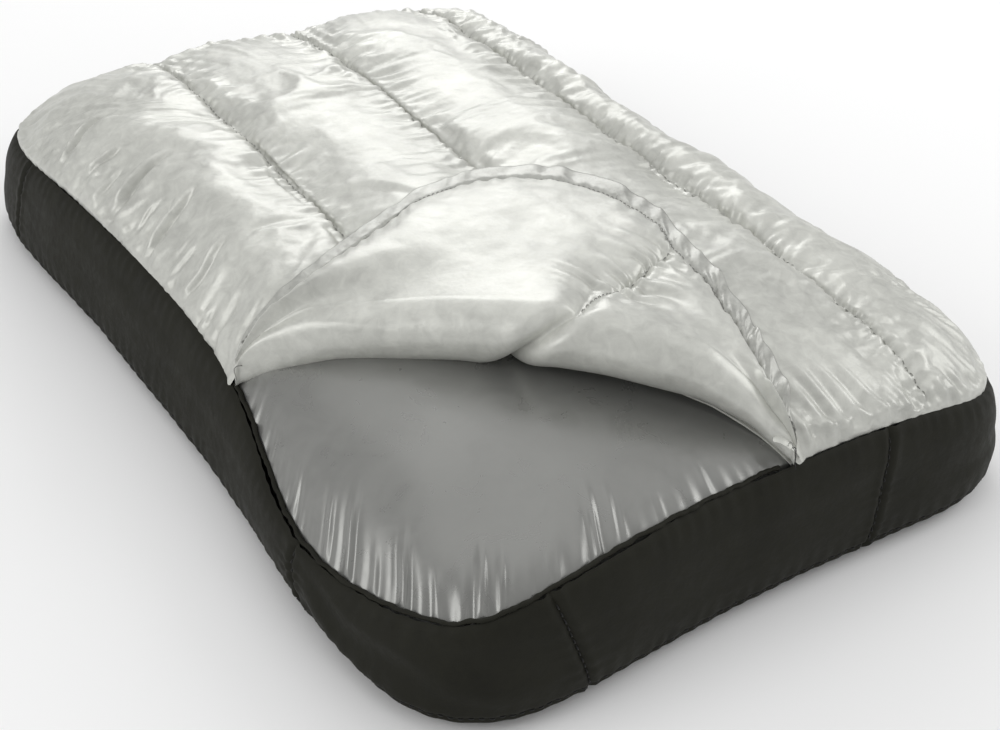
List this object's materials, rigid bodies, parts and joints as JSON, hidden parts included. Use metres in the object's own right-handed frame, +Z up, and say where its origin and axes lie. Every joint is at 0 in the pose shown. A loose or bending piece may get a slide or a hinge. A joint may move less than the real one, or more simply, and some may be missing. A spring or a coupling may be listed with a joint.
{
  "type": "inflatable camp pillow",
  "caption": "Inflatable camp pillow: waisted boxed cover with a channel-quilted down top, a folded-back corner flap, and an air bladder with a two-stage valve.",
  "frame": {"origin": "centre of the bounding box's bottom face, on the surface that the pillow rests on", "axes": "+Y along the length and the quilt channels, +X across the channels, +Z up; the opened corner is at -X, -Y"},
  "size_m": [0.3175, 0.4604, 0.1012],
  "materials": {
    "charcoal_nylon": "plain-woven stretch nylon, matte with a faint sheen",
    "silver_nylon": "calendered downproof nylon, silver grey, glossy",
    "lining_nylon": "calendered downproof nylon, silver grey, glossy",
    "down": "loose down and feather fill",
    "bladder_film": "coated nylon film, grey, satin",
    "valve_plastic": "moulded urethane, satin",
    "valve_silicone": "soft moulded silicone",
    "pin_plastic": "moulded acetal pin"
  },
  "bodies": {
    "cover": {"base_panel": "charcoal_nylon", "side_panel_left": "charcoal_nylon", "side_panel_front": "charcoal_nylon", "side_panel_right": "charcoal_nylon", "side_panel_back": "charcoal_nylon", "corner_panel_front_left": "charcoal_nylon", "corner_panel_front_right": "charcoal_nylon", "corner_panel_back_right": "charcoal_nylon", "corner_panel_back_left": "charcoal_nylon", "quilt_shell": "silver_nylon", "quilt_lining": "lining_nylon", "down_fill_1": "down", "down_fill_2": "down", "down_fill_3": "down", "down_fill_4": "down", "opening_hem": "lining_nylon", "bladder_top": "bladder_film", "bladder_bottom": "bladder_film", "bladder_gusset": "bladder_film", "valve_flange": "valve_plastic", "valve_collar": "valve_plastic", "plug_hinge_pin": "pin_plastic"},
    "cover_flap": {"flap_shell": "silver_nylon", "flap_lining": "lining_nylon", "flap_fill_1": "down", "flap_fill_2": "down", "flap_hem": "lining_nylon"},
    "flap_tip": {"flap_tip_shell": "silver_nylon", "flap_tip_lining": "lining_nylon", "flap_tip_fill": "down", "flap_tip_hem": "lining_nylon"},
    "dump_plug": {"dump_plug": "valve_plastic", "cap_hinge_pin": "pin_plastic", "plug_gasket": "valve_silicone"},
    "inflation_cap": {"inflation_cap": "valve_plastic"},
    "check_flap": {"check_flap": "valve_silicone"}
  },
  "joints": [
    {"name": "flap_fold", "type": "hinge", "parent": "cover", "child": "cover_flap", "pos_m": [-0.05134, -0.12172, 0.0898], "axis": [0.6822, -0.7312, 0], "range_deg": [0, 178]},
    {"name": "flap_tip_bend", "type": "hinge", "parent": "cover_flap", "child": "flap_tip", "pos_m": [0.01447, -0.06033, 0.1015], "axis": [0.6822, -0.7312, 0], "range_deg": [0, 50]},
    {"name": "plug_hinge", "type": "hinge", "parent": "cover", "child": "dump_plug", "pos_m": [0.075, 0.2254, 0.0476], "axis": [1, 0, 0], "range_deg": [0, 140]},
    {"name": "cap_hinge", "type": "hinge", "parent": "dump_plug", "child": "inflation_cap", "pos_m": [0.075, 0.2284, 0.0356], "axis": [1, 0, 0], "range_deg": [0, 120]},
    {"name": "check_flap_hinge", "type": "hinge", "parent": "dump_plug", "child": "check_flap", "pos_m": [0.075, 0.22545, 0.0346], "axis": [-1, 0, 0], "range_deg": [0, 55], "stiffness_Nm_per_rad": 0.0002}
  ],
  "couplings": [
    {"joint": "flap_tip_bend", "follows": "flap_fold", "ratio": 0.2808}
  ]
}
